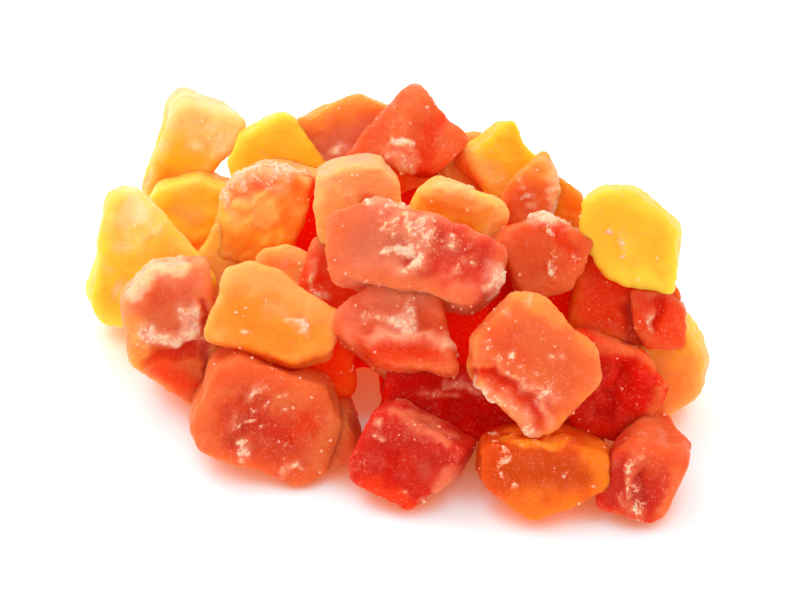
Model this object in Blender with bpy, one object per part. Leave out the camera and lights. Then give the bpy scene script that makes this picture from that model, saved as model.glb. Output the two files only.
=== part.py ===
"""A heap of candied papaya: sugared chunks of cut fruit, lying as they fell, fused into one solid.

The heap is a low core mound with every chunk that shows standing on it at true size. Each chunk is
a block cut from the fruit: a cuboid with a size, a place and a turn, and a few knife slices that
take its corners off. Its edges are then rounded. All lengths in the tables are millimetres.
"""

import math
from collections import namedtuple

import bmesh
import bpy
from mathutils import Euler, Matrix, Vector

MM = 0.001

# The radius of a chunk's worn, sugared edges.
EDGE_ROUND = 1.7

# The core mound: its middle, then height, half width, half depth and shift to the right, level by level.
CORE_MIDDLE = (3, 1.5)
CORE_LEVELS = ((-2, 37, 30, 0), (7, 34, 28, 1), (14, 23, 20, 5), (20, 16, 13, 6), (25, 8, 7, 6))
CORE_SIDES = 28

# The front chunks stand round a small recess, which bites this share out of the core.
RECESS_BEARING = math.radians(-110)
RECESS_SPREAD = 0.26
RECESS_SHARE = 0.55

FLOOR_BLOCK = (200, 200, 40)

PAPAYA_COLOUR = (0.80, 0.11, 0.03, 1.0)
PAPAYA_ROUGHNESS = 0.42

# One chunk of fruit. at is the middle of its block, and size its width, depth and height.
# turn is how many degrees it leans back, rolls clockwise and heads to its left, seen from the front.
# Each slice is a knife cut that takes one edge or corner off the block: its signs say which one, and
# its sizes say what share of the block's width, depth and height goes. 0 leaves that side whole.
Chunk = namedtuple("Chunk", "name at size turn slices")

CHUNKS = (
    # The lowest layer, round the front and the sides.
    Chunk("amber_front", (25, -39.5, 4.5), (20, 16, 12.5), (28, 0, 0),
          ((0.55, 0, -0.4), (-0.35, 0, -0.45), (0.3, 0, 0.2), (-0.25, 0, 0.1))),
    Chunk("red_corner", (41.5, -38.5, 4.5), (11, 18, 12.5), (24, 14, -10),
          ((-0.25, 0, 0.25), (0.15, 0, -0.2))),
    Chunk("red_cube", (4.5, -35.5, 4.5), (15.5, 16, 13), (30, 20, -14),
          ((0.25, 0, -0.6), (-0.15, 0, 0.15), (-0.12, 0, -0.14))),
    Chunk("dark_slab", (11.5, -26, 7), (24, 12, 11), (40, 10, 0), ()),
    Chunk("small_front", (-9, -29.5, 3), (8, 14, 7), (22, -20, 0), ()),
    Chunk("big_front", (-19.5, -27.5, 6.5), (22.5, 18, 16), (27, 24, 6),
          ((-0.15, 0, 0.2), (0.2, 0, 0.25), (0.15, 0, -0.2), (-0.12, 0, -0.2))),
    Chunk("snowy_red", (-35.7, -11.7, 10), (14.5, 16, 23.5), (28, -5, 6),
          ((-0.6, 0, -0.38), (-0.4, 0, 0.18), (0.1, 0, -0.3))),
    Chunk("lemon_wedge", (-39.3, 3.5, 12.7), (20, 11, 23), (30, 17, 10),
          ((0.78, 0, 0.52), (-0.15, 0, -0.15), (-0.12, 0, 0.1))),
    Chunk("peach_strip", (-29.3, 5, 7.8), (10, 11, 18), (34, 5, 0), ((0.5, 0, 0.4), (-0.45, 0, 0.5))),
    Chunk("under_honey", (-9.5, -17.5, 8), (8, 10, 10), (40, 0, 0), ()),
    Chunk("folded_red", (35.5, -25.5, 10), (17, 12, 14.5), (26, 24, 8),
          ((0.3, 0, -0.6), (-0.3, 0, -0.3), (0.3, 0, 0.25))),
    Chunk("far_right", (46.8, -19, 8.3), (11.5, 13, 18), (32, 4, -12), ((0.45, 0, 0.35), (0.6, 0, -0.35))),
    Chunk("peach_lump", (-34.5, 19.5, 8.5), (16, 16, 15), (30, -10, 5),
          ((-0.4, 0, -0.4), (0.25, 0, -0.3), (-0.25, 0, 0.25), (0.3, 0, 0.2))),
    Chunk("pale_slab", (-34.8, 33.5, 13.0), (12.5, 13, 19), (24, 23, 8),
          ((-0.12, 0, 0.08), (0.55, 0, -0.75))),
    # The second layer.
    Chunk("big_salmon", (23, -30.5, 20), (19, 13, 16.2), (34, 46, 4),
          ((-0.22, 0, -0.25), (-0.2, 0, 0.15), (0.2, 0, 0.2), (0.12, 0, -0.12))),
    Chunk("crusted", (2, -21.5, 18), (19.5, 12, 13.5), (54, 0, -6),
          ((-0.28, 0, 0.45), (-0.4, 0, -0.4), (0.2, 0, 0.95))),
    Chunk("honey_front", (-18, -18.5, 17.3), (19.5, 12, 13.5), (54, 24, 6),
          ((0.6, 0, 0.25), (0.25, 0, -0.35), (-0.15, 0, 0.2))),
    Chunk("blood_orange", (39, -12, 17), (17, 14, 15), (44, 5, 0),
          ((0.2, 0, -0.3), (-0.2, 0, 0.1), (0.3, 0, 0.4))),
    Chunk("red_lump", (44.1, -17.8, 17.9), (8, 8.5, 9), (36, 0, 0), ((0.35, 0, 0.3), (-0.3, 0, -0.35))),
    Chunk("deep_filler", (11.5, -17, 15), (9, 10, 13), (30, 0, 0), ()),
    Chunk("dark_gap", (28.5, -7.5, 12), (9, 9, 10), (40, 0, 0), ()),
    Chunk("round_top", (-16.5, -4.5, 15), (11, 11, 9), (48, 28, 0), ((-0.3, 0, 0.3),)),
    Chunk("sugar_ridge", (-6, -6.5, 16), (16, 11, 11), (36, 20, 0), ()),
    Chunk("deep_left", (-13.5, 12.5, 12), (8, 10, 12), (40, 0, 0), ()),
    Chunk("frosted_orange", (-21, 10, 18), (13.5, 12, 16.5), (28, 12, -8),
          ((-0.4, 0, 0.25), (0.12, 0, -0.15), (-0.2, -0.2, 0))),
    Chunk("amber_back", (-19, 22.5, 18.6), (14, 12, 15), (30, -31, 0), ((-0.3, 0, 0.2), (0.15, 0, 0.1))),
    Chunk("red_back", (-7.5, 28, 20.7), (17.5, 12, 11), (36, -20, 0), ((0.25, 0, 0.3), (-0.15, 0, 0.1))),
    Chunk("honey_back", (19, 16, 22), (10.5, 11, 13), (36, -20, 25), ()),
    Chunk("standing_mate", (30, 4.5, 22), (7, 8, 12), (44, 0, 0), ((0.8, 0, 0.4),)),
    Chunk("deep_top", (3.5, 15, 20), (8, 8, 9), (40, 0, 0), ()),
    # The top layer.
    Chunk("saddle", (4, -16, 30), (29.5, 12, 13.5), (52, 10, -3),
          ((-0.28, 0, 0.45), (-0.12, 0, -0.9), (0.45, 0, 0.32), (0.12, 0, -0.3))),
    Chunk("coral_lump", (26, -10.5, 26), (14, 14, 12), (34, -20, 5),
          ((0.4, 0, 0.55), (0.45, 0, -0.4), (-0.15, 0, 0.1))),
    Chunk("lemon_block", (39.5, -10.5, 29), (15.5, 10, 15.5), (28, 0, -8),
          ((-0.4, 0, -0.45), (0.5, 0, 0.35), (-0.2, 0, 0.12), (-0.95, 0, -0.15))),
    Chunk("salmon_block", (-5, 1, 28), (13, 11, 12), (26, 2, 6), ((-0.3, 0, 0.15), (0.2, 0, 0.25))),
    Chunk("orange_loaf", (11.5, -1.5, 27), (15, 10, 9), (25, 20, 0), ((-0.2, 0, 0.25), (0.1, 0, 0.15))),
    Chunk("standing_slice", (24.5, 6, 26), (8, 8, 12.5), (24, 12, -15), ((0.45, 0, 0.35), (-0.45, 0, 0.5))),
    Chunk("red_peak", (2.5, 13, 29), (13, 15, 17.5), (40, 49, 4), ((0.97, 0, -0.53), (-0.8, -0.5, -1.2))),
    # The far side.
    Chunk("rear_left", (-16, 33.5, 5), (13, 12, 10), (15, 15, 15), ((0.3, 0, 0.3),)),
    Chunk("rear_middle", (-6, 39.5, 6), (16, 13, 11), (10, 5, 30), ((0.3, 0, 0.3), (-0.3, 0.3, 0.3))),
    Chunk("rear_block", (9, 36.5, 7), (14, 13, 13), (-15, -8, -20), ((0.3, 0, 0.3),)),
    Chunk("rear_right", (22, 26.5, 6), (15, 12, 12), (-20, 10, -40), ((-0.3, 0, 0.3),)),
    Chunk("rear_corner", (33, 13.5, 6), (14, 12, 12), (-15, -10, -55), ((0.3, 0.3, 0.3),)),
    Chunk("rear_side", (40, 2.5, 6), (14, 12, 12), (-20, 12, -75), ((-0.3, 0, 0.25),)),
    Chunk("rear_under", (-23, 24.5, 7), (11, 12, 11), (0, 10, 30), ((0.3, 0, 0.3),)),
    Chunk("rear_upper_left", (-6, 32.5, 12), (13, 12, 11), (-20, 12, 10), ((0.3, 0, 0.3),)),
    Chunk("rear_upper_middle", (9, 27.5, 14), (14, 13, 11), (-30, 10, -15), ((0.3, 0.2, 0.3),)),
    Chunk("rear_upper_right", (27, 11.5, 14), (14, 12, 12), (-30, -12, -50), ((0.3, 0, 0.3),)),
    Chunk("rear_upper_side", (36, -0.5, 17), (13, 13, 12), (-10, 12, -70), ((0.3, 0, 0.3),)),
    Chunk("rear_top", (13, 17.5, 19.5), (13, 11, 10), (-30, 15, 20), ((0.3, 0.3, 0.3),)),
)


def part_share(number, step):
    """A share from 0 to 1 that differs from one chunk to the next in an even, unordered way."""
    return number * step % 1.0


def far_slices(number):
    """Two more cuts on the side turned away from the front, unlike those of the chunks beside it."""
    side = 1 if number % 2 else -1
    end = 1 if number // 2 % 2 else -1
    return (
        (side * (0.25 + 0.2 * part_share(number, 0.618)), 0.4 + 0.3 * part_share(number, 0.382), 0),
        (0, 0.35 + 0.3 * part_share(number, 0.236), end * (0.25 + 0.2 * part_share(number, 0.854))),
    )


def slice_plane(size, cut):
    """The cut's outward normal, and its distance from the middle of a block of this size."""
    normal = Vector([math.copysign(2 / (abs(share) * side), share) if share else 0.0
                     for share, side in zip(cut, size)])
    reach = sum(1 / abs(share) for share in cut if share) - 2
    return normal.normalized(), reach / normal.length


def block_corners(size, cuts, inset):
    """The corners of a block after its knife cuts, with every face moved in by the inset."""
    bm = bmesh.new()
    inner = Vector(size) - Vector((2 * inset,) * 3)
    bmesh.ops.create_cube(bm, size=1, matrix=Matrix.Diagonal((*inner, 1)))
    for cut in cuts:
        normal, distance = slice_plane(size, cut)
        bmesh.ops.bisect_plane(
            bm, geom=bm.verts[:] + bm.edges[:] + bm.faces[:], dist=1e-5,
            plane_co=normal * (distance - inset), plane_no=normal, clear_outer=True,
        )
        open_edges = [edge for edge in bm.edges if edge.is_boundary]
        bmesh.ops.holes_fill(bm, edges=open_edges)
    corners = [vert.co.copy() for vert in bm.verts]
    bm.free()
    return corners


def ball_points(radius):
    """The twelve corners of an icosahedron of this radius, which stands for a small ball."""
    bm = bmesh.new()
    bmesh.ops.create_icosphere(bm, subdivisions=1, radius=radius)
    points = [vert.co.copy() for vert in bm.verts]
    bm.free()
    return points


def place_of(chunk):
    """The matrix that turns the chunk and puts it where it lies."""
    lean, roll, heading = (math.radians(angle) for angle in chunk.turn)
    turn = Euler((-lean, roll, heading), "YXZ").to_matrix().to_4x4()
    return Matrix.Translation(chunk.at) @ turn


def chunk_mesh(chunk, number):
    """The chunk's closed mesh: the hull of a small ball at each corner of its cut block."""
    cuts = chunk.slices + far_slices(number)
    bm = bmesh.new()
    for corner in block_corners(chunk.size, cuts, EDGE_ROUND):
        for point in ball_points(EDGE_ROUND):
            bm.verts.new(corner + point)
    hull = bmesh.ops.convex_hull(bm, input=bm.verts[:])
    inside = [item for item in hull["geom_interior"] if isinstance(item, bmesh.types.BMVert)]
    bmesh.ops.delete(bm, geom=inside, context="VERTS")
    bm.transform(Matrix.Scale(MM, 4) @ place_of(chunk))
    bmesh.ops.recalc_face_normals(bm, faces=bm.faces[:])
    return finished_mesh(bm, chunk.name)


def core_radius_share(bearing):
    """How much of its full radius the core keeps on this bearing: all of it but at the recess."""
    off = math.remainder(bearing - RECESS_BEARING, math.tau) / RECESS_SPREAD
    return 1 - RECESS_SHARE * math.exp(-off * off)


def core_mesh():
    """The mound inside the heap, as rings of points joined by quads and closed at both ends."""
    bm = bmesh.new()
    rings = []
    for height, half_width, half_depth, aside in CORE_LEVELS:
        ring = []
        for step in range(CORE_SIDES):
            bearing = math.tau * step / CORE_SIDES
            share = core_radius_share(bearing)
            x = CORE_MIDDLE[0] + aside + share * half_width * math.cos(bearing)
            y = CORE_MIDDLE[1] + share * half_depth * math.sin(bearing)
            ring.append(bm.verts.new(Vector((x, y, height)) * MM))
        rings.append(ring)
    for lower, upper in zip(rings, rings[1:]):
        for step in range(CORE_SIDES):
            after = (step + 1) % CORE_SIDES
            bm.faces.new((lower[step], lower[after], upper[after], upper[step]))
    bm.faces.new(reversed(rings[0]))
    bm.faces.new(rings[-1])
    bmesh.ops.recalc_face_normals(bm, faces=bm.faces[:])
    return finished_mesh(bm, "core")


def finished_mesh(bm, name):
    mesh = bpy.data.meshes.new(name)
    bm.to_mesh(mesh)
    bm.free()
    return mesh


def box_mesh(name, size, middle):
    bm = bmesh.new()
    bmesh.ops.create_cube(bm, size=1, matrix=Matrix.Translation(middle) @ Matrix.Diagonal((*size, 1)))
    bm.transform(Matrix.Scale(MM, 4))
    return finished_mesh(bm, name)


def put(name, mesh, collection):
    thing = bpy.data.objects.new(name, mesh)
    collection.objects.link(thing)
    return thing


def apply_modifiers(thing):
    """Replaces the object's mesh with what its modifiers make of it."""
    bpy.context.view_layer.update()
    graph = bpy.context.evaluated_depsgraph_get()
    made = bpy.data.meshes.new_from_object(thing.evaluated_get(graph))
    thing.modifiers.clear()
    thing.data = made


def fuse(thing, others):
    """Joins the collection's objects to this one with one Boolean union, and removes them."""
    union = thing.modifiers.new("fuse chunks", "BOOLEAN")
    union.operation = "UNION"
    union.operand_type = "COLLECTION"
    union.collection = others
    union.solver = "EXACT"
    apply_modifiers(thing)
    for other in list(others.objects):
        bpy.data.objects.remove(other)
    bpy.data.collections.remove(others)


def cut_level(thing, collection):
    """Cuts the heap off level with the surface it lies on."""
    below = (0, 0, -FLOOR_BLOCK[2] / 2)
    block = put("floor_cutter", box_mesh("floor_cutter", FLOOR_BLOCK, below), collection)
    block.hide_render = True
    block.display_type = "WIRE"
    cut = thing.modifiers.new("level base", "BOOLEAN")
    cut.operation = "DIFFERENCE"
    cut.object = block
    cut.solver = "EXACT"
    apply_modifiers(thing)
    bpy.data.objects.remove(block)


def faces_joined_to(start, seen):
    """Every face reached from this one over shared edges."""
    found, waiting = [], [start]
    seen.add(start)
    while waiting:
        face = waiting.pop()
        found.append(face)
        for edge in face.edges:
            for other in edge.link_faces:
                if other not in seen:
                    seen.add(other)
                    waiting.append(other)
    return found


def keep_outer_shell(mesh):
    """Keeps the heap's outer surface, and drops sealed hollows and loose scraps."""
    bm = bmesh.new()
    bm.from_mesh(mesh)
    bmesh.ops.remove_doubles(bm, verts=bm.verts[:], dist=0.002 * MM)
    bmesh.ops.dissolve_degenerate(bm, edges=bm.edges[:], dist=0.002 * MM)
    seen = set()
    shells = [faces_joined_to(face, seen) for face in bm.faces if face not in seen]
    widest = max(shells, key=len)
    scraps = [face for shell in shells if shell is not widest for face in shell]
    bmesh.ops.delete(bm, geom=scraps, context="FACES")
    bmesh.ops.triangulate(bm, faces=bm.faces[:])
    bm.to_mesh(mesh)
    bm.free()


def stand_on_origin(mesh):
    """Moves the mesh so that the middle of the underside of its box is the origin."""
    low = Vector([min(vert.co[axis] for vert in mesh.vertices) for axis in range(3)])
    high = Vector([max(vert.co[axis] for vert in mesh.vertices) for axis in range(3)])
    middle = (low + high) / 2
    mesh.transform(Matrix.Translation((-middle.x, -middle.y, -low.z)))


def papaya_material():
    material = bpy.data.materials.new("candied_papaya")
    material.use_nodes = True
    surface = material.node_tree.nodes["Principled BSDF"]
    surface.inputs["Base Color"].default_value = PAPAYA_COLOUR
    surface.inputs["Roughness"].default_value = PAPAYA_ROUGHNESS
    surface.inputs["Metallic"].default_value = 0.0
    return material


def build():
    for thing in list(bpy.data.objects):
        bpy.data.objects.remove(thing)
    scene = bpy.context.scene.collection
    heap = put("papaya_heap", core_mesh(), scene)
    chunks = bpy.data.collections.new("chunks")
    scene.children.link(chunks)
    for number, chunk in enumerate(CHUNKS):
        put(chunk.name, chunk_mesh(chunk, number), chunks)
    fuse(heap, chunks)
    cut_level(heap, scene)
    keep_outer_shell(heap.data)
    stand_on_origin(heap.data)
    heap.data.materials.clear()
    heap.data.materials.append(papaya_material())


build()
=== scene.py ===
# %% [markdown]
# # A heap of candied papaya, dressed over its solid
#
# Candied papaya is fruit that was cut into rough blocks, soaked in syrup and rolled in sugar. The
# heap is forty-odd such chunks, lying as they fell. Each chunk is modelled the way it was made: a
# block, a few knife slices off its corners, faces that sank as they dried, and sugar on top.
#
# First the solid is loaded. It says how big the heap is and where it stands, and it stays in
# place for collisions, while the chunks below are shown instead of it.

# %% Load the solid
import math
import random
from collections import namedtuple

import bpy
import numpy as np
from mathutils import Euler, Matrix, Vector, noise


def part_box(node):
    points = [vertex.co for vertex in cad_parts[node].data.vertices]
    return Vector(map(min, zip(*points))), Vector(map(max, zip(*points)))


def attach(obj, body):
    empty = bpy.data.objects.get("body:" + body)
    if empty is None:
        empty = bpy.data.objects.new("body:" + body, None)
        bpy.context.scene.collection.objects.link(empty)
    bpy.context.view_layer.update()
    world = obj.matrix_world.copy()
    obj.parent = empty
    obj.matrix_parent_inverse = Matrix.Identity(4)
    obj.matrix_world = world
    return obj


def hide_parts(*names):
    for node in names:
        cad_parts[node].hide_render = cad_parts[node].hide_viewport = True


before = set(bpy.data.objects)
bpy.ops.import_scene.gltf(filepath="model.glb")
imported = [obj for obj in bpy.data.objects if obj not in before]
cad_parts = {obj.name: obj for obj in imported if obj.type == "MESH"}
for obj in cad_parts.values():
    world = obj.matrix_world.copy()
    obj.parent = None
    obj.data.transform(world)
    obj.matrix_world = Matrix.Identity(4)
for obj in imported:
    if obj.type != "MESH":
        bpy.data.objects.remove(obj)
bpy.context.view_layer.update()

MM = 0.001
low, high = (Vector(corner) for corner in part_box("papaya_heap"))
print("heap", [round(side / MM, 1) for side in high - low], "mm")

# %% [markdown]
# ## The colours of the fruit
#
# Papaya ripens from lemon yellow at the rind to deep red at the heart, and a block keeps the
# colours of the place it was cut from. One list of named colours serves every chunk, so that the
# same word always means the same fruit. Colours are easiest to judge as they look on a screen, so
# they are written that way and turned into the linear light that the renderer works in.

# %% The palette
PALETTE = {
    "cream": (252, 236, 196),
    "buff": (245, 200, 132),
    "pale": (247, 216, 140),
    "lemon": (248, 220, 72),
    "gold": (250, 207, 64),
    "honey": (250, 198, 46),
    "amber": (244, 148, 36),
    # A darker amber for the front, partly painted shade.
    "burnt": (202, 76, 8),
    "peach": (250, 182, 104),
    "apricot": (246, 158, 70),
    "orange": (244, 132, 28),
    "salmon": (230, 112, 58),
    "coral": (228, 90, 42),
    "scarlet": (240, 62, 12),
    "rose": (230, 122, 86),
    "red": (208, 40, 24),
    "ruby": (226, 22, 6),
    "dark": (214, 6, 1),
    # A bright red for the gaps between chunks: painted light, for light that comes through the fruit.
    "deep": (255, 18, 3),
    "pink": (246, 170, 134),
    "sugar": (248, 214, 184),
}


def linear(colour):
    """The linear light of a screen colour."""
    shares = [channel / 255 for channel in colour]
    return [share / 12.92 if share <= 0.04045 else ((share + 0.055) / 1.055) ** 2.4
            for share in shares]


LIGHT = {name: np.array(linear(colour)) for name, colour in PALETTE.items()}
print(len(PALETTE), "colours")

# %% [markdown]
# ## The table of chunks
#
# The heap could be dropped into place by a simulation, but then no chunk would lie where it lies
# here. So each chunk has a row: the middle of its block, its width, depth and height, how many
# degrees it leans back, rolls clockwise and heads to its left, and its knife slices. The rows are
# the ones that the solid was built from, in millimetres. Three colours are added to each: that of
# its upper part, mostly lighter, which is partly the fruit's own colour and partly painted light
# from above; that of its body; and that of its thin rims, which is painted light coming through.

# %% The chunks
Chunk = namedtuple("Chunk", "name kind colours at size turn slices")

CHUNKS = (
    # The lowest layer, round the front and the sides. The front ones, such as amber_front in burnt
    # and dark_slab in dark, have darker colours, which are partly painted shade for faces that the
    # light reaches less.
    Chunk("amber_front", "honey", "burnt burnt burnt", (25, -39.5, 4.5), (20, 16, 12.5), (28, 0, 0),
          ((0.55, 0, -0.4), (-0.35, 0, -0.45), (0.3, 0, 0.2), (-0.25, 0, 0.1))),
    Chunk("red_corner", "red", "coral red coral", (41.5, -38.5, 4.5), (11, 18, 12.5), (24, 14, -10),
          ((-0.25, 0, 0.25), (0.15, 0, -0.2))),
    Chunk("red_cube", "red", "red red red", (4.5, -35.5, 4.5), (15.5, 16, 13), (30, 20, -14),
          ((0.25, 0, -0.6), (-0.15, 0, 0.15), (-0.12, 0, -0.14))),
    Chunk("dark_slab", "deep_red", "dark dark ruby", (11.5, -26, 7), (24, 12, 11), (40, 10, 0), ()),
    Chunk("small_front", "coral", "salmon coral salmon", (-9, -29.5, 3), (8, 14, 7), (22, -20, 0), ()),
    Chunk("big_front", "red", "coral coral salmon", (-19.5, -27.5, 6.5), (22.5, 18, 16), (27, 24, 6),
          ((-0.15, 0, 0.2), (0.2, 0, 0.25), (0.15, 0, -0.2), (-0.12, 0, -0.2))),
    Chunk("snowy_red", "coral", "rose salmon peach", (-35.7, -11.7, 10), (14.5, 16, 23.5), (28, -5, 6),
          ((-0.6, 0, -0.38), (-0.4, 0, 0.18), (0.1, 0, -0.3))),
    Chunk("lemon_wedge", "lemon", "cream lemon lemon", (-39.3, 3.5, 12.7), (20, 11, 23), (30, 17, 10),
          ((0.78, 0, 0.52), (-0.15, 0, -0.15), (-0.12, 0, 0.1))),
    Chunk("peach_strip", "salmon", "gold peach peach", (-29.3, 5, 7.8), (10, 11, 18), (34, 5, 0),
          ((0.5, 0, 0.4), (-0.45, 0, 0.5))),
    # A filler in a gap: its bright colours and its glow are painted light in the crevice.
    Chunk("under_honey", "inner", "scarlet scarlet orange", (-9.5, -17.5, 8), (8, 10, 10), (40, 0, 0), ()),
    Chunk("folded_red", "deep_red", "ruby ruby scarlet", (35.5, -25.5, 10), (17, 12, 14.5), (26, 24, 8),
          ((0.3, 0, -0.6), (-0.3, 0, -0.3), (0.3, 0, 0.25))),
    Chunk("far_right", "honey", "honey apricot peach", (46.8, -19, 8.3), (11.5, 13, 18), (32, 4, -12),
          ((0.45, 0, 0.35), (0.6, 0, -0.35))),
    Chunk("peach_lump", "peach", "gold gold peach", (-34.5, 19.5, 8.5), (16, 16, 15), (30, -10, 5),
          ((-0.4, 0, -0.4), (0.25, 0, -0.3), (-0.25, 0, 0.25), (0.3, 0, 0.2))),
    # Its pale colours are partly painted light: the glow of the lamp shining through it.
    Chunk("pale_slab", "lemon", "buff honey buff", (-34.8, 33.5, 13.0), (12.5, 13, 19), (24, 23, 8),
          ((-0.12, 0, 0.08), (0.55, 0, -0.75))),
    # The second layer.
    Chunk("big_salmon", "salmon", "salmon coral apricot", (23, -30.5, 20), (19, 13, 16.2), (34, 46, 4),
          ((-0.22, 0, -0.25), (-0.2, 0, 0.15), (0.2, 0, 0.2), (0.12, 0, -0.12))),
    Chunk("crusted", "salmon", "rose coral salmon", (2, -21.5, 18), (19.5, 12, 13.5), (54, 0, -6),
          ((-0.28, 0, 0.45), (-0.4, 0, -0.4), (0.2, 0, 0.95))),
    Chunk("honey_front", "honey", "amber amber peach", (-18, -18.5, 17.3), (19.5, 12, 13.5), (54, 24, 6),
          ((0.6, 0, 0.25), (0.25, 0, -0.35), (-0.15, 0, 0.2))),
    Chunk("blood_orange", "coral", "scarlet scarlet orange", (39, -12, 17), (17, 14, 15), (44, 5, 0),
          ((0.2, 0, -0.3), (-0.2, 0, 0.1), (0.3, 0, 0.4))),
    Chunk("red_lump", "red", "red scarlet salmon", (44.1, -17.8, 17.9), (8, 8.5, 9), (36, 0, 0),
          ((0.35, 0, 0.3), (-0.3, 0, -0.35))),
    # Fillers in gaps: their bright red and their glow are painted light in the crevices.
    Chunk("deep_filler", "inner", "deep deep deep", (11.5, -17, 15), (9, 10, 13), (30, 0, 0), ()),
    Chunk("dark_gap", "inner", "deep deep deep", (28.5, -7.5, 12), (9, 9, 10), (40, 0, 0), ()),
    Chunk("round_top", "salmon", "peach apricot peach", (-16.5, -4.5, 15), (11, 11, 9), (48, 28, 0),
          ((-0.3, 0, 0.3),)),
    Chunk("sugar_ridge", "coral", "rose scarlet salmon", (-6, -6.5, 16), (16, 11, 11), (36, 20, 0), ()),
    # A filler in a gap, bright and glowing: painted light in the crevice.
    Chunk("deep_left", "inner", "deep deep deep", (-13.5, 12.5, 12), (8, 10, 12), (40, 0, 0), ()),
    Chunk("frosted_orange", "peach", "peach honey peach", (-21, 10, 18), (13.5, 12, 16.5), (28, 12, -8),
          ((-0.4, 0, 0.25), (0.12, 0, -0.15), (-0.2, -0.2, 0))),
    Chunk("amber_back", "honey", "gold honey honey", (-19, 22.5, 18.6), (14, 12, 15), (30, -31, 0),
          ((-0.3, 0, 0.2), (0.15, 0, 0.1))),
    Chunk("red_back", "red", "apricot rose apricot", (-7.5, 28, 20.7), (17.5, 12, 11), (36, -20, 0),
          ((0.25, 0, 0.3), (-0.15, 0, 0.1))),
    Chunk("honey_back", "honey", "honey honey honey", (19, 16, 22), (10.5, 11, 13), (36, -20, 25), ()),
    Chunk("standing_mate", "coral", "amber orange orange", (30, 4.5, 22), (7, 8, 12), (44, 0, 0),
          ((0.8, 0, 0.4),)),
    # A filler in a gap, bright and glowing: painted light in the crevice.
    Chunk("deep_top", "inner", "apricot apricot apricot", (3.5, 15, 20), (8, 8, 9), (40, 0, 0), ()),
    # The top layer.
    Chunk("saddle", "red", "rose rose salmon", (4, -16, 30), (29.5, 12, 13.5), (52, 10, -3),
          ((-0.28, 0, 0.45), (-0.12, 0, -0.9), (0.45, 0, 0.32), (0.12, 0, -0.3))),
    Chunk("coral_lump", "coral", "coral coral salmon", (26, -10.5, 26), (14, 14, 12), (34, -20, 5),
          ((0.4, 0, 0.55), (0.45, 0, -0.4), (-0.15, 0, 0.1))),
    Chunk("lemon_block", "lemon", "honey honey gold", (39.5, -10.5, 29), (15.5, 10, 15.5), (28, 0, -8),
          ((-0.4, 0, -0.45), (0.5, 0, 0.35), (-0.2, 0, 0.12), (-0.95, 0, -0.15))),
    Chunk("salmon_block", "salmon", "pink apricot peach", (-5, 1, 28), (13, 11, 12), (26, 2, 6),
          ((-0.3, 0, 0.15), (0.2, 0, 0.25))),
    Chunk("orange_loaf", "peach", "gold gold peach", (11.5, -1.5, 27), (15, 10, 9), (25, 20, 0),
          ((-0.2, 0, 0.25), (0.1, 0, 0.15))),
    Chunk("standing_slice", "salmon", "apricot salmon apricot", (24.5, 6, 26), (8, 8, 12.5), (24, 12, -15),
          ((0.45, 0, 0.35), (-0.45, 0, 0.5))),
    Chunk("red_peak", "red", "salmon coral coral", (2.5, 13, 29), (13, 15, 17.5), (40, 49, 4),
          ((0.97, 0, -0.53), (-0.8, -0.5, -1.2))),
    # The far side.
    Chunk("rear_left", "peach", "apricot coral salmon", (-16, 33.5, 5), (13, 12, 10), (15, 15, 15),
          ((0.3, 0, 0.3),)),
    Chunk("rear_middle", "honey", "gold honey gold", (-6, 39.5, 6), (16, 13, 11), (10, 5, 30),
          ((0.3, 0, 0.3), (-0.3, 0.3, 0.3))),
    Chunk("rear_block", "red", "coral red salmon", (9, 36.5, 7), (14, 13, 13), (-15, -8, -20),
          ((0.3, 0, 0.3),)),
    Chunk("rear_right", "peach", "peach apricot peach", (22, 26.5, 6), (15, 12, 12), (-20, 10, -40),
          ((-0.3, 0, 0.3),)),
    Chunk("rear_corner", "salmon", "salmon coral apricot", (33, 13.5, 6), (14, 12, 12), (-15, -10, -55),
          ((0.3, 0.3, 0.3),)),
    Chunk("rear_side", "honey", "honey amber gold", (40, 2.5, 6), (14, 12, 12), (-20, 12, -75),
          ((-0.3, 0, 0.25),)),
    Chunk("rear_under", "coral", "coral scarlet salmon", (-23, 24.5, 7), (11, 12, 11), (0, 10, 30),
          ((0.3, 0, 0.3),)),
    Chunk("rear_upper_left", "salmon", "salmon salmon peach", (-6, 32.5, 12), (13, 12, 11), (-20, 12, 10),
          ((0.3, 0, 0.3),)),
    Chunk("rear_upper_middle", "lemon", "lemon gold pale", (9, 27.5, 14), (14, 13, 11), (-30, 10, -15),
          ((0.3, 0.2, 0.3),)),
    Chunk("rear_upper_right", "red", "rose red salmon", (27, 11.5, 14), (14, 12, 12), (-30, -12, -50),
          ((0.3, 0, 0.3),)),
    Chunk("rear_upper_side", "peach", "peach apricot peach", (36, -0.5, 17), (13, 13, 12), (-10, 12, -70),
          ((0.3, 0, 0.3),)),
    Chunk("rear_top", "salmon", "apricot salmon peach", (13, 17.5, 19.5), (13, 11, 10), (-30, 15, 20),
          ((0.3, 0.3, 0.3),)),
)

# The solid was centred on the origin after it was fused, which moved every chunk this far.
CENTRED = Vector((-0.82, 0.24, 0))
print(len(CHUNKS), "chunks")

# %% [markdown]
# ## Marks on the chunks
#
# No two chunks dried alike. A mark is a stroke along a path on a chunk's front: it may push the
# surface in or out, tint it, or leave sugar on it. Sculpting by hand would do the same, but a row
# of numbers can be read and changed. A path is in shares of the block's half width and half
# height, and a stroke's width and push are millimetres.

# %% The marks
Mark = namedtuple("Mark", "path width push colour sugar", defaults=(0.0, "", 0.0))


def dots(width, colour, sugar, *places):
    """Round marks of one kind, one at each place, which stand out a little where they are sugared."""
    return tuple(Mark((place,), width, 0.1 * width * sugar, colour, sugar) for place in places)


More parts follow.
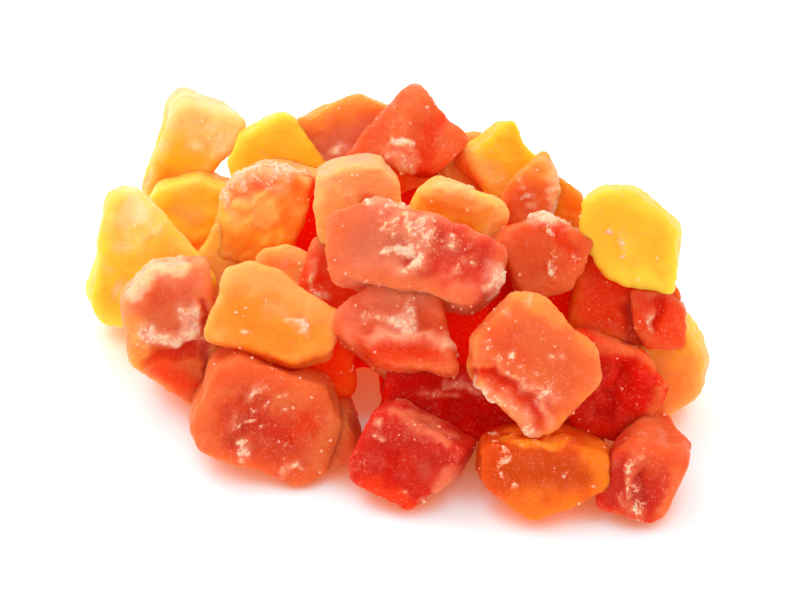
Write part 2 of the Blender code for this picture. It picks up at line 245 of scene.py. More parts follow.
MARKS = {
    "pale_slab": dots(2.2, "cream", 0.15, (-0.16, 0.31), (-0.03, -0.47)) + (
        Mark(((0.45, 0.75), (0.75, 0.45)), 4.0, 0.2, "cream", 0.2),
        # The pale band along the top is painted light, like the slab's pale colours.
        Mark(((-0.9, 1.0), (0.9, 1.0)), 6.5, 0.0, "pale"),
        Mark(((-0.7, -0.7), (0.8, -0.8)), 6.0, 0.0, "amber"),
    ),
    "peach_lump": dots(2.5, "peach", 0.1, (-0.29, -0.23), (0.11, 0.25), (-0.1, 0.6)) + (
        Mark(((-0.57, 0.93), (-0.9, 0.2)), 4.0, 0.3, "gold"),
        Mark(((0.5, -0.6), (-0.3, -0.7)), 5.0, -0.4, "orange"),
    ),
    "lemon_wedge": dots(
        1.8, "cream", 0.25, (-0.89, 0.49), (-0.63, 0.21), (-0.89, -0.14), (-0.61, -0.45)) + (
        Mark(((-0.95, 0.9), (-0.95, -0.9)), 4.5, 0.0, "honey"),
        Mark(((0.1, 0.6), (-0.1, -0.2)), 6.0, -0.5, "lemon"),
    ),
    "frosted_orange": (
        Mark(((-0.82, 0.16), (-0.71, 0.52), (-0.47, 0.80), (0.0, 1.0), (0.52, 1.0)),
             2.6, 0.6, "pink", 0.75),
        Mark(((-0.45, 0.35), (-0.2, 0.62)), 1.9, -0.8, "coral", 0.15),
        Mark(((-0.1, 0.25), (0.13, -0.05), (0.3, 0.1)), 4.2, 1.3, "peach", 0.1),
        Mark(((0.1, 0.62), (0.35, 0.68)), 1.4, 0.4, "pink", 0.7),
        Mark(((0.85, 0.8), (0.85, -0.5)), 2.6, -0.5, "orange"),
        Mark(((-0.8, -0.8), (0.6, -0.9)), 5.5, 0.0, "orange"),
    ),
    "red_back": (
        Mark(((-0.8, 0.9), (0.8, 0.9)), 3.6, 0.3, "apricot"),
        Mark(((-0.8, -0.6), (0.5, -0.7)), 3.4, 0.3, "rose", 0.15),
    ) + dots(1.6, "sugar", 0.8, (-0.24, -0.31)),
    "red_peak": (
        Mark(((-0.7, 0.9), (-0.5, 0.3), (-0.1, 0.0)), 3.0, 0.8, "salmon"),
        Mark(((-0.22, -0.01), (0.06, 0.07)), 1.5, 0.5, "sugar", 1.0),
        Mark(((0.04, -0.30), (0.36, -0.08), (0.38, -0.23)), 2.2, 0.9, "pink", 0.5),
        Mark(((0.1, 0.8), (0.4, 0.3), (0.79, -0.1)), 2.6, -0.6, "scarlet"),
        Mark(((0.4, -0.5), (0.8, -0.5)), 2.4, 0.3, "orange"),
        Mark(((0.0, -0.75), (0.3, -0.6)), 1.8, 0.6, "pink", 0.45),
    ),
    "salmon_block": (
        Mark(((-0.64, 0.17), (-0.7, -0.7)), 3.4, 0.6, "peach", 0.1),
        Mark(((-0.33, 0.72), (0.4, 0.6)), 3.2, -0.5, "peach", 0.15),
        Mark(((0.2, 0.1), (0.6, -0.3)), 2.4, -0.6, "coral"),
    ),
    "orange_loaf": (
        # The cream streak along the top edge is a painted highlight, with a little sugar.
        Mark(((-0.62, 0.97), (0.12, 1.0)), 1.0, 0.3, "cream", 0.35),
        Mark(((-0.8, 0.8), (0.8, 0.8)), 3.0, 0.4, "peach", 0.1),
        Mark(((0.75, 0.8), (0.9, -0.5)), 2.6, 0.4, "peach", 0.1),
        Mark(((-0.5, -0.3), (0.5, -0.4)), 3.4, -0.4, "orange"),
    ),
    "honey_back": (Mark(((-0.95, 0.91), (-0.6, 0.0)), 3.6, 0.2, "peach"),),
    "standing_slice": dots(0.8, "sugar", 0.9, (-0.24, 0.08), (0.47, -0.32), (-0.5, 0.2), (0.1, -0.1)) + (
        Mark(((0.48, 0.66), (1.1, 0.57), (1.0, 0.13), (1.1, -0.4)), 1.0, 0.35, "cream", 0.7),
        Mark(((-0.4, 0.8), (0.2, 0.7)), 3.0, 0.2, "apricot"),
    ),
    "saddle": (
        Mark(((-0.25, 1.2), (0.4, 1.2)), 5.5, -1.6),
        Mark(((-0.2, -1.2), (0.35, -1.1)), 4.5, -1.0, "salmon"),
        Mark(((-0.8, 0.1), (-0.9, -0.7)), 4.6, 0.9, "salmon"),
        Mark(((-0.45, -0.2), (-0.1, 0.0)), 3.6, -0.9, "rose"),
        Mark(((-0.3, 0.3), (-0.12, 0.6)), 2.6, 0.4, "rose", 0.55),
        Mark(((-0.1, 0.6), (0.16, 0.5), (0.05, 0.1)), 2.6, 0.5, "pink", 0.8),
        Mark(((-0.2, -0.2), (-0.05, -0.12), (0.1, -0.3), (0.12, -0.58), (-0.04, -0.6)),
             1.7, 0.6, "pink", 1.0),
        Mark(((-0.35, 0.35), (0.1, 0.25), (0.6, -0.1)), 6.0, 0.0, "", 0.3),
        Mark(((0.02, -0.38),), 1.3, -0.9, "red"),
        Mark(((0.35, -0.33), (0.75, -0.3)), 4.2, -0.7, "ruby"),
        Mark(((0.3, 0.3), (0.8, 0.2)), 3.4, 0.3, "red"),
        Mark(((0.94, -0.2), (0.94, -0.6)), 1.4, 0.5, "sugar", 0.8),
        Mark(((-0.45, 0.75), (-0.2, 0.9)), 1.8, 0.4, "pink", 0.6),
    ) + dots(1.2, "pink", 0.7, (0.57, -0.10), (0.7, -0.16), (0.41, 0.19), (0.5, -0.4)),
    "coral_lump": (
        Mark(((-0.05, 1.0), (0.52, 0.68), (0.56, 0.50)), 1.1, 0.4, "sugar", 0.8),
        Mark(((0.2, 0.6), (0.1, 0.1), (-0.1, -0.5)), 1.3, 0.2, "", 0.65),
        Mark(((0.3, 0.4), (0.5, -0.2)), 1.6, -0.9, "scarlet"),
        Mark(((0.45, -0.2), (0.30, -0.6)), 1.4, 0.4, "", 0.55),
        Mark(((-0.54, -0.57), (0.1, -0.7)), 2.2, 0.2, "salmon"),
    ),
    "lemon_block": (
        # A thin sugar streak that paints a highlight line.
        Mark(((-0.22, 0.0), (-0.05, -0.32)), 0.9, 0.3, "", 0.8),
        Mark(((-0.1, 0.1), (0.1, -0.3)), 2.6, -0.5, "gold"),
        Mark(((-0.3, -0.9), (0.8, -0.85)), 3.0, 0.2, "lemon"),
    ) + dots(0.7, "", 0.8, (-0.35, 0.15), (0.15, 0.5)),
    "blood_orange": (
        Mark(((0.26, -0.30), (0.37, -0.58), (0.51, -0.8)), 1.7, 0.5, "pink", 0.6),
        Mark(((0.1, -0.3), (0.25, -0.8)), 2.2, -0.7, "red"),
        Mark(((-0.51, 0.3), (-0.5, -0.6)), 4.5, -0.4, "scarlet"),
    ),
    "red_lump": (
        Mark(((-0.06, 0.6), (-0.16, -0.4)), 1.2, -0.8, "ruby"),
        Mark(((-0.45, 0.2), (-0.4, -0.5)), 0.9, 0.4, "pink", 0.6),
    ),
    "folded_red": (
        Mark(((-0.70, 0.96), (-0.07, 1.0), (0.47, 0.86)), 1.3, 0.5, "salmon", 0.1),
        Mark(((-0.5, 0.7), (-0.2, 0.0), (-0.2, -0.5)), 3.4, 0.5, "red", 0.05),
        Mark(((0.05, 0.7), (0.1, 0.1), (0.0, -0.5)), 2.4, -1.3, "dark"),
        Mark(((0.24, 0.31), (0.5, 0.0)), 3.2, 0.5, "ruby"),
        Mark(((0.87, 0.73), (0.89, 0.25), (0.8, -0.4)), 1.3, 0.4, "salmon", 0.1),
    ),
    "big_salmon": (
        Mark(((-0.66, -1.1), (-0.3, -0.98), (0.0, -0.9), (0.38, -0.84), (0.7, -0.95)),
             1.3, 1.1, "pink", 0.7),
        Mark(((-0.60, -0.94), (-0.34, -0.75), (-0.09, -0.66), (0.15, -0.6), (0.42, -0.66),
              (0.65, -0.75)), 1.5, -2.2, "ruby"),
        Mark(((-0.3, -0.5), (0.03, -0.46), (0.25, -0.34), (0.44, -0.26), (0.73, -0.22)),
             1.6, 0.4, "pink", 0.75),
        Mark(((-0.7, -0.5), (-0.2, -0.25), (0.5, -0.1)), 4.0, 0.0, "", 0.3),
        Mark(((0.55, -0.5), (0.85, -0.6)), 1.5, 0.7, "pink", 0.5),
        Mark(((-0.7, -0.5), (-0.1, -0.3), (0.5, 0.0)), 2.4, 0.3, "salmon"),
        Mark(((-0.9, 0.8), (-0.2, 0.9)), 1.6, 0.0, "apricot"),
        Mark(((0.8, 0.8), (0.85, 0.0)), 2.4, 0.0, "salmon"),
        Mark(((0.0, 0.4),), 6.0, 0.0, "salmon"),
    ) + dots(0.9, "pink", 0.8, (-0.8, 0.8), (-0.9, 0.34), (0.14, 0.27), (0.3, 0.5), (-0.45, -0.2)),
    "amber_front": (
        Mark(((-0.73, 0.82), (-0.62, 0.09), (-0.58, -0.35)), 1.0, 0.3, "", 0.75),
        Mark(((-0.57, 0.97), (-0.17, 1.0), (0.3, 1.0)), 1.0, 0.2, "amber", 0.25),
        Mark(((0.06, 0.48), (0.4, 0.2)), 4.6, -0.4, "", 0.2),
        Mark(((0.8, 0.7), (0.9, 0.0)), 3.4, 0.2, "orange"),
        Mark(((-0.4, -0.7), (0.4, -0.7)), 4.4, 0.0, "orange"),
    ),
    "red_corner": (
        Mark(((-0.40, 0.7), (-0.3, 0.26), (-0.14, -0.31), (0.1, -0.9)), 1.7, 0.5, "rose", 0.55),
        Mark(((-0.5, -0.4), (-0.1, -0.8)), 1.1, 0.3, "rose", 0.45),
        Mark(((0.0, 0.2), (0.0, -0.6)), 1.0, -0.8, "red"),
        Mark(((0.85, 0.7), (0.8, -0.6)), 1.6, 0.2, "salmon"),
        Mark(((-0.8, 0.5), (-0.7, -0.7)), 2.0, -0.3, "red"),
    ),
    "red_cube": dots(0.8, "pink", 0.8, (-0.79, 0.57), (-0.77, 0.29), (0.27, -0.81), (0.6, -0.6)) + (
        Mark(((-0.68, 0.96), (0.0, 1.0), (0.6, 1.0)), 1.0, 0.2, "rose", 0.1),
        Mark(((0.9, 0.3), (0.9, -0.5)), 1.4, 0.2, "rose", 0.15),
        Mark(((-0.3, -0.1), (-0.1, -0.5)), 2.4, -0.7, "ruby"),
        Mark(((0.1, 0.2), (0.3, -0.3)), 2.4, 0.5, "red"),
        Mark(((-0.6, -0.85), (0.5, -0.95)), 2.2, 0.3, "scarlet"),
    ),
    "dark_slab": (
        Mark(((-0.47, 0.15), (-0.28, 0.28), (0.0, 0.1)), 1.1, 0.4, "rose", 0.35),
        Mark(((-0.17, 0.53), (0.3, 0.4)), 0.9, 0.3, "pink", 0.4),
        Mark(((0.0, -0.2), (0.5, -0.3)), 3.0, -0.8, "dark"),
    ),
    "crusted": (
        Mark(((-0.05, 0.0), (0.15, -0.05)), 2.8, 0.6, "sugar", 1.0),
        Mark(((0.21, 0.5), (0.15, 0.2)), 2.1, 0.4, "sugar", 0.9),
        Mark(((-0.45, 0.1), (-0.2, -0.05)), 2.0, 0.2, "pink", 0.5),
        Mark(((-0.3, 0.5), (0.4, 0.5)), 3.6, 0.3, "rose", 0.2),
        Mark(((-0.34, -0.40), (0.06, -0.36), (0.47, -0.26), (0.84, -0.45)), 1.6, 0.8, "pink", 0.25),
        Mark(((-0.4, -0.72), (0.1, -0.66), (0.6, -0.6)), 2.2, -1.2, "scarlet"),
        Mark(((0.84, -0.50),), 1.0, 0.3, "sugar", 0.8),
        Mark(((-0.8, 0.2), (-0.7, -0.3)), 2.8, 0.3, "rose"),
        Mark(((0.4, 0.3), (0.6, 0.0)), 2.6, -0.5, "coral"),
    ),
    "honey_front": (
        Mark(((-0.13, 0.05), (0.39, 0.05)), 2.3, -0.5, "peach", 0.1),
        Mark(((0.22, -0.10), (0.44, -0.02)), 1.1, 0.3, "cream", 0.8),
        Mark(((-0.9, 0.6), (-0.2, 0.7), (0.6, 0.6)), 4.0, 0.3, "peach"),
        Mark(((-0.3, -0.6), (0.4, -0.6)), 4.0, 0.0, "amber"),
        Mark(((0.9, 0.5), (1.0, 0.2)), 1.6, 0.2, "peach", 0.2),
    ) + dots(0.7, "cream", 0.9, (-0.35, -0.69), (1.0, 0.39)),
    "snowy_red": (
        Mark(((-0.79, 0.73), (-0.50, 0.9), (-0.11, 1.0), (0.5, 1.0)), 1.5, 0.3, "cream", 0.3),
        Mark(((-0.68, 0.16), (-0.36, 0.08), (0.02, 0.0), (0.45, 0.0)), 2.0, 0.9, "sugar", 1.0),
        Mark(((0.48, 0.42), (0.36, 0.2), (0.5, 0.0)), 1.9, 0.6, "sugar", 1.0),
        Mark(((-0.6, -0.12), (0.0, -0.2), (0.4, -0.2)), 1.6, -1.2, "ruby"),
        Mark(((-0.02, 0.6),), 4.0, -0.5, "coral"),
        Mark(((-0.85, 0.3), (-0.8, -0.3)), 2.0, 0.2, "apricot"),
        Mark(((-0.4, -0.4), (0.2, -0.7)), 4.0, 0.2, "scarlet"),
        Mark(((0.75, 0.5), (0.7, -0.6)), 1.1, -0.9, "red", 0.1),
    ),
    "big_front": (
        Mark(((-0.50, -0.10), (-0.44, -0.27), (-0.30, -0.12)), 0.9, 0.3, "pink", 0.7),
        Mark(((-0.46, 0.38), (-0.28, 0.73)), 1.0, 0.2, "pink", 0.5),
        Mark(((-0.22, -0.58), (-0.13, -0.88)), 1.1, 0.4, "pink", 0.8),
        Mark(((0.44, -0.86), (0.60, -0.58)), 1.1, 0.4, "pink", 0.6),
        Mark(((-0.3, -0.05), (0.2, -0.2)), 6.0, -0.8, "red", 0.15),
        Mark(((0.35, 0.85), (0.1, 0.5)), 3.0, 0.4, "salmon", 0.1),
        Mark(((-0.9, 0.3), (-1.0, -0.6), (-0.5, -0.95)), 2.4, 0.3, "salmon"),
        Mark(((0.8, 0.8), (0.9, 0.2), (0.8, -0.4)), 2.2, 0.3, "salmon"),
        Mark(((0.45, 0.3), (0.4, 0.0)), 2.2, -0.7, "scarlet"),
    ) + dots(0.7, "pink", 0.8, (-0.09, -0.16), (-0.36, 0.5), (0.2, 0.3), (-0.3, 0.1), (-0.15, 0.3),
             (0.0, 0.6)),
    # The pale pink spot is a painted highlight.
    "round_top": dots(1.2, "pink", 0.3, (-0.37, 0.19)),
    "sugar_ridge": (
        Mark(((-0.9, 0.1), (-0.80, -0.26), (-0.57, -0.46), (-0.39, -0.74)), 1.1, 0.5, "pink", 0.7),
        Mark(((-0.2, 0.2), (0.4, 0.0)), 3.0, -0.5, "scarlet"),
    ),
}
print(sum(len(marks) for marks in MARKS.values()), "marks")

# %% [markdown]
# ## A block and its knife slices
#
# A chunk starts as a cuboid. Each knife slice is a bisect in edit mode: it keeps what lies inside
# a plane and fills the cut. The signs of a slice say which edge or corner goes, and its sizes say
# what share of the width, depth and height. Two more cuts shape the side turned away.

# %% Knife slices
FLAT = 1e-6


def only(thing):
    """Selects this object alone and makes it the active one."""
    bpy.ops.object.select_all(action="DESELECT")
    thing.select_set(True)
    bpy.context.view_layer.objects.active = thing


def part_share(number, step):
    """A share from 0 to 1 that differs from one chunk to the next in an even, unordered way."""
    return number * step % 1.0


def far_slices(number):
    """Two more cuts on the side turned away from the front, unlike those of the chunks beside it."""
    side = 1 if number % 2 else -1
    end = 1 if number // 2 % 2 else -1
    return (
        (side * (0.25 + 0.2 * part_share(number, 0.618)), 0.4 + 0.3 * part_share(number, 0.382), 0),
        (0, 0.35 + 0.3 * part_share(number, 0.236), end * (0.25 + 0.2 * part_share(number, 0.854))),
    )


def slice_plane(size, cut):
    """The cut's outward normal, and its distance from the middle of a block of this size."""
    normal = Vector([math.copysign(2 / (abs(share) * side), share) if share else 0.0
                     for share, side in zip(cut, size)])
    reach = sum(1 / abs(share) for share in cut if share) - 2
    return normal.normalized(), reach / normal.length


def place_of(chunk):
    """The matrix, in millimetres, that turns the chunk and puts it where it lies."""
    lean, roll, heading = (math.radians(angle) for angle in chunk.turn)
    turn = Euler((-lean, roll, heading), "YXZ").to_matrix().to_4x4()
    return Matrix.Translation(Vector(chunk.at) + CENTRED) @ turn


def bisect(point, normal, **keep):
    bpy.ops.mesh.select_all(action="SELECT")
    bpy.ops.mesh.bisect(plane_co=point, plane_no=normal, use_fill=True, threshold=FLAT, **keep)


def cut_block(chunk, cuts):
    """The block in edit mode, with its corners sliced off."""
    bpy.ops.object.select_all(action="DESELECT")
    bpy.ops.mesh.primitive_cube_add(size=MM)
    block = bpy.context.object
    block.name = chunk.name
    bpy.ops.object.mode_set(mode="EDIT")
    bpy.ops.transform.resize(value=chunk.size)
    for cut in cuts:
        normal, distance = slice_plane(chunk.size, cut)
        bisect(normal * distance * MM, normal, clear_outer=True)
    return block


print(sum(len(chunk.slices) for chunk in CHUNKS), "slices that show")

# %% [markdown]
# ## Soft edges and a level underside
#
# Tumbling in sugar wears the sharp edges, so they are bevelled. Then the block is turned and put
# in its place, and where it stands on the table it is sliced level.

# %% Edges and underside
EDGE_WIDTH = 1.0 * MM
SHARP = math.radians(24)
LEVEL = 0.12 * MM


def soften_edges():
    bpy.ops.mesh.select_mode(type="EDGE")
    bpy.ops.mesh.select_all(action="DESELECT")
    bpy.ops.mesh.edges_select_sharp(sharpness=SHARP)
    bpy.ops.mesh.bevel(offset=EDGE_WIDTH, segments=2, affect="EDGES", clamp_overlap=True)


def lay_down(block, place):
    """Turns the block, puts it where it lies, and slices it level with the table."""
    bpy.ops.object.mode_set(mode="OBJECT")
    only(block)
    block.matrix_world = Matrix.Scale(MM, 4) @ place @ Matrix.Scale(1 / MM, 4)
    bpy.ops.object.transform_apply(location=True, rotation=True, scale=True)
    if min(vert.co.z for vert in block.data.vertices) < LEVEL:
        bpy.ops.object.mode_set(mode="EDIT")
        bisect((0, 0, LEVEL), (0, 0, 1), clear_inner=True)
        bpy.ops.object.mode_set(mode="OBJECT")


print("edges", EDGE_WIDTH / MM, "mm wide")

# %% [markdown]
# ## Fruit instead of facets
#
# A bevelled block still looks machined. A voxel remesh turns it into an even skin of small quads,
# smoothing melts the facets into each other, and three Displace modifiers with cloud textures
# make it lumpy: for the pull of drying over several millimetres, for small dents, and for pits.

# %% Remesh and displace
VOXEL = 0.37 * MM
MELT_STEPS = 5


def cloud(name, size, depth):
    """A cloud texture with features of this size."""
    texture = bpy.data.textures.new(name, "CLOUDS")
    texture.noise_scale = size
    texture.noise_depth = depth
    return texture


LUMPS = cloud("pull of drying", 9 * MM, 1)
DENTS = cloud("small dents", 3.2 * MM, 2)
PITS = cloud("pits", 1.0 * MM, 1)
HEIGHTS = ((LUMPS, 1.6 * MM), (DENTS, 0.7 * MM), (PITS, 0.3 * MM))


def finish_with(thing, kind, **settings):
    """Adds a modifier with these settings and applies it."""
    modifier = thing.modifiers.new(kind.lower(), kind)
    for name, value in settings.items():
        setattr(modifier, name, value)
    bpy.ops.object.modifier_apply(modifier=modifier.name)


def lumpy(thing, texture, height, middle=0.5):
    """Pushes the skin out and in by a texture. Where the texture is at this middle it stays."""
    finish_with(thing, "DISPLACE", texture=texture, texture_coords="LOCAL", mid_level=middle,
                strength=height)


def ripen(block):
    """The even, lumpy skin of a piece of dried fruit."""
    finish_with(block, "REMESH", mode="VOXEL", voxel_size=VOXEL)
    finish_with(block, "SMOOTH", factor=0.5, iterations=MELT_STEPS)
    for texture, height in HEIGHTS:
        lumpy(block, texture, height)


print("skin points", round(VOXEL / MM, 2), "mm apart")

# %% [markdown]
# ## Colour, marks and sugar
#
# Colour follows the shape of each chunk, so it is worked out for every point of its skin and kept
# in attributes on the mesh, which its material reads. Rims are found from the block itself: a
# point lies near an edge when it is near two of the block's planes at once, and there the rim
# colour is painted light that comes through the thin flesh. Marks measure how far a point is from
# their path, with a noisy distance so that no border is a clean curve. The seed comes first,
# because without it the random shifts would differ each time the script is run.

# %% Soft random values
noise.seed_set(6)


def smooth_step(low_end, high_end, value):
    """0 at the one end, 1 at the other, and smooth between. The ends may be in either order."""
    share = np.clip((value - low_end) / (high_end - low_end), 0, 1)
    return share * share * (3 - 2 * share)


def rough(points, size, seed):
    """A soft random value from about -1 to 1 at each point, with features of this size."""
    shift = Vector((seed * 7.1, seed * 3.3, seed * 5.7))
    return np.array([noise.noise(Vector(point) / size + shift) for point in points])


def wander(points, size, seed):
    """A soft random shift of each point, up to about this size, that differs from place to place."""
    shift = Vector((seed * 2.9, seed * 8.3, seed * 4.1))
    return size * np.array([noise.noise_vector(Vector(point) / (2.2 * size) + shift) for point in points])


print("random shifts seeded")

# %% [markdown]
# ## Where the colours and marks lie
#
# The numbers that steer the painting are gathered here. Lengths are millimetres, and the rest are
# shares. A pair of edges says where an effect begins and where it is full.

# %% Painting numbers
# The lighter rim, painted light that comes through thin edges: how far in from an edge it
# reaches, how strong it is, and how ragged.
RIM_REACH, RIM_SHARE, RIM_FRAY, EDGE_FRAY = 1.2, 0.55, 0.5, 0.4

# The upper colour, partly painted light from above: from which to which share of the half
# height it takes over, and how raggedly.
UPPER_FROM, UPPER_FULL, HEIGHT_FRAY = -0.1, 1.0, 0.25

# The borders: the size of their rags, how far these reach in shares of a mark's width, and how
# far whole marks are pushed out of shape, broadly and finely.
BORDER_SIZE, FRAY = 2.2, 0.35
BROAD_SHIFT, FINE_SHIFT = 1.5, 0.5

# The marks: they lie on the front, so they fade within these shares of the half depth. The pairs
# below are shares of a mark's width, and a mark that leaves this much sugar is tinted less.
FRONT_FROM, FRONT_FULL = 0.35, -0.1
PUSH_EDGES, SUGAR_EDGES, TINT_EDGES = (1, 0.25), (0.85, 0.1), (1.2, 0)
SUGARED, SUGARED_TINT, PLAIN_TINT = 0.25, 0.5, 0.8

# Drying: the skin stands out a little, but the middles of faces sank, the further from a rim the
# more.
SWELL, SINK = 0.35, 0.5
SINK_FROM, SINK_FULL = 0.8, 4.0
print("rims reach", RIM_REACH, "mm in")


# %% Painting the skin
def distance_to_path(points, path):
    """How far each point of a flat picture is from a path of straight runs."""
    if len(path) == 1:
        return np.linalg.norm(points - path[0], axis=1)
    nearest = np.full(len(points), 1e9)
    for start, end in zip(path, path[1:]):
        run = end - start
        along = np.clip((points - start) @ run / (run @ run), 0, 1)
        nearest = np.minimum(nearest, np.linalg.norm(points - start - along[:, None] * run, axis=1))
    return nearest


def block_planes(chunk, cuts):
    """The outward normals of the block's faces and slices, and their distances."""
    planes = [(Vector([sign if axis == side else 0 for axis in range(3)]), chunk.size[side] / 2)
              for side in range(3) for sign in (1, -1)]
    planes += [slice_plane(chunk.size, cut) for cut in cuts]
    return np.array([normal for normal, _ in planes]), np.array([reach for _, reach in planes])


def blend(colour, other, share):
    """One colour for each point, moved this share of the way to another."""
    return colour + (other - colour) * share[:, None]


def paint(chunk, cuts, local, seed):
    """The colour, sugar, push and swell of every point of a skin, given in its block's millimetres."""
    half = np.array(chunk.size) / 2
    upper, body, rim = (LIGHT[name] for name in chunk.colours.split())
    fray = rough(local, BORDER_SIZE, seed)
    # The upper colour comes in towards the top: partly the fruit's own colour, partly painted light from
    # above.
    height = local[:, 2] / half[2] + HEIGHT_FRAY * fray
    colour = blend(np.tile(body, (len(local), 1)), upper, smooth_step(UPPER_FROM, UPPER_FULL, height))
    normals, reaches = block_planes(chunk, cuts)
    second_depth = np.sort(local @ normals.T - reaches, axis=1)[:, -2]
    # Near two planes at once the skin is thin, and the rim colour there is painted light that comes
    # through.
    thin = np.exp(np.minimum(second_depth + EDGE_FRAY * fray, 0) / RIM_REACH)
    colour = blend(colour, rim, np.clip((RIM_SHARE + RIM_FRAY * fray) * thin, 0, 1))
    sugar = np.zeros(len(local))
    push = np.zeros(len(local))
    front = smooth_step(FRONT_FROM, FRONT_FULL, local[:, 1] / half[1])
    shifted = local + wander(local, BROAD_SHIFT, seed) + wander(local, FINE_SHIFT, seed + 60)
    for mark in MARKS.get(chunk.name, ()):
        path = np.array(mark.path) * half[[0, 2]]
        away = distance_to_path(shifted[:, [0, 2]], path) / mark.width + FRAY * fray
        push += smooth_step(*PUSH_EDGES, away) * front * mark.push
        sugar = np.maximum(sugar, smooth_step(*SUGAR_EDGES, away) * front * mark.sugar)
        if mark.colour:
            strength = SUGARED_TINT if mark.sugar > SUGARED else PLAIN_TINT
            colour = blend(colour, LIGHT[mark.colour], strength * smooth_step(*TINT_EDGES, away) * front)
    return colour, sugar, push, SWELL - SINK * smooth_step(SINK_FROM, SINK_FULL, -second_depth)


print(len(MARKS), "chunks have marks")

# %% [markdown]
# ## The chunks of one kind
#
# Chunks of one colour are one kind and become one piece. Each is cut, laid down, ripened and
# marked in turn. Sugar stands a little proud of the skin as a crust that a random pattern breaks
# into flecks, so it is pushed out as well as tinted. What would rise above the crest of the heap
# is flattened, and nothing goes below the table. Where a push is steep the skin can fold over
# itself. A folded face looks towards the middle of its chunk, so it is easy to find, and moving
# its points to the middle of their neighbours, again and again, smooths it out.

# %% Reading and keeping values
def read(mesh, what, wide):
    """A value of every point, as rows this wide."""
    values = np.empty(len(mesh.vertices) * wide, np.float32)
    mesh.vertices.foreach_get(what, values)
    return values.reshape(-1, wide).astype(float)


def write_points(mesh, points):
    mesh.vertices.foreach_set("co", points.astype(np.float32).ravel())


def keep_attribute(mesh, name, kind, field, values):
    """Stores a value of every point on the mesh, for its material to read."""
    attribute = mesh.attributes.new(name, kind, "POINT")
    attribute.data.foreach_set(field, np.ascontiguousarray(values, np.float32).ravel())


def keep_skin(mesh, colour, sugar):
    keep_attribute(mesh, "flesh", "FLOAT_COLOR", "color", np.c_[colour, np.ones(len(colour))])
    keep_attribute(mesh, "sugar", "FLOAT", "value", sugar)


def indices(items, what, wide):
    """The point numbers of edges or corners, as rows this wide."""
    values = np.empty(len(items) * wide, np.int32)
    items.foreach_get(what, values)
    return values.reshape(-1, wide)


print("readers ready")

# %% Relaxing folds
UNFOLD_ROUNDS = 30
RINGS = 2   # how many points round a fold are moved with it


def unfold(mesh, middle):
    """Relaxes the spots where the skin has folded over itself, and says how many are left."""
    first, second = indices(mesh.edges, "vertices", 2).T
    corners = indices(mesh.loops, "vertex_index", 1).reshape(-1, 4)
    both, across = np.r_[first, second], np.r_[second, first]
    crowd = np.bincount(both, minlength=len(mesh.vertices))
    for _ in range(UNFOLD_ROUNDS):
        points = read(mesh, "co", 3)
        one, two, three, four = (points[corners[:, turn]] for turn in range(4))
        outward = points[corners].mean(axis=1) - middle
        folded = (np.cross(three - one, four - two) * outward).sum(axis=1) < 0
        if not folded.any():
            break
        loose = np.zeros(len(points), bool)
        loose[corners[folded]] = True
        for _ in range(RINGS):
            reached = loose[first] | loose[second]
            loose[first[reached]] = loose[second[reached]] = True
        sums = [np.bincount(both, points[across, axis]) for axis in range(3)]
        points[loose] = (np.array(sums).T / crowd[:, None])[loose]
        write_points(mesh, points)
    return int(folded.sum())


print("folds relaxed in up to", UNFOLD_ROUNDS, "rounds")

# %% Building the chunks
# In millimetres: how thick the crust is, and the sizes of its flecks.
CRUST = 0.45
COARSE_FLECKS, FINE_FLECKS = 1.5, 0.6

# How strongly the flecks break the crust up. A weak crust is thinned most.
GAIN, BREAK_UP, LOSS = 1.25, 1.7, 0.3

# The crest, what share goes of the height above it, and the gap that is left above the table.
CREST, CREST_LOSS = 39, 0.4
TABLE_GAP = 0.03

# Which way a mark pushes: mostly along the chunk's front, and partly along the skin's normal.
ALONG_FRONT, ALONG_NORMAL = 0.6, 0.4


def flecked(sugar, points, seed):
    """The sugar that is left where a random pattern breaks the crust into flecks."""
    broken = 0.7 * rough(points, COARSE_FLECKS, seed) + 0.6 * rough(points, FINE_FLECKS, seed + 1)
    return np.clip(GAIN * sugar + BREAK_UP * broken * np.sqrt(sugar) - LOSS, 0, 1)


def build_chunk(chunk, number):
    """One finished chunk, with its colour and sugar as attributes of its mesh."""
    cuts = chunk.slices + far_slices(number)
    place = place_of(chunk)
    block = cut_block(chunk, cuts)
    soften_edges()
    lay_down(block, place)
    ripen(block)
    mesh = block.data
    points = read(mesh, "co", 3) / MM
    normals = read(mesh, "normal", 3)
    back = np.array(place.inverted())
    local = points @ back[:3, :3].T + back[:3, 3]
    colour, sugar, push, swell = paint(chunk, cuts, local, number)
    sugar = flecked(sugar, points, number)
    front = np.array(place.to_3x3() @ Vector((0, -1, 0)))
    points += push[:, None] * (ALONG_FRONT * front + ALONG_NORMAL * normals)
    points += (swell + CRUST * sugar)[:, None] * normals
    points[:, 2] -= CREST_LOSS * np.maximum(points[:, 2] - CREST, 0)
    points[:, 2] = np.maximum(points[:, 2], TABLE_GAP)
    write_points(mesh, points * MM)
    left = unfold(mesh, np.array(place.translation) * MM)
    keep_skin(mesh, colour, sugar)
    print(chunk.name, len(points), "points,", left, "folds left")
    return block


def joined(name, things):
    """The things as one object, at the origin."""
    bpy.ops.object.select_all(action="DESELECT")
    for thing in things:
        thing.select_set(True)
    bpy.context.view_layer.objects.active = things[0]
    if len(things) > 1:
        bpy.ops.object.join()
    things[0].name = name
    things[0].data.name = name
    bpy.ops.object.shade_smooth()
    return things[0]


print("builder ready")

# %% The fruit
kinds = {}
for number, chunk in enumerate(CHUNKS):
    kinds.setdefault(chunk.kind, []).append(build_chunk(chunk, number))
fruit = {kind: joined(kind + "_chunks", chunks) for kind, chunks in kinds.items()}
for kind, piece in fruit.items():
    print(piece.name, len(piece.data.polygons) * 2, "triangles")
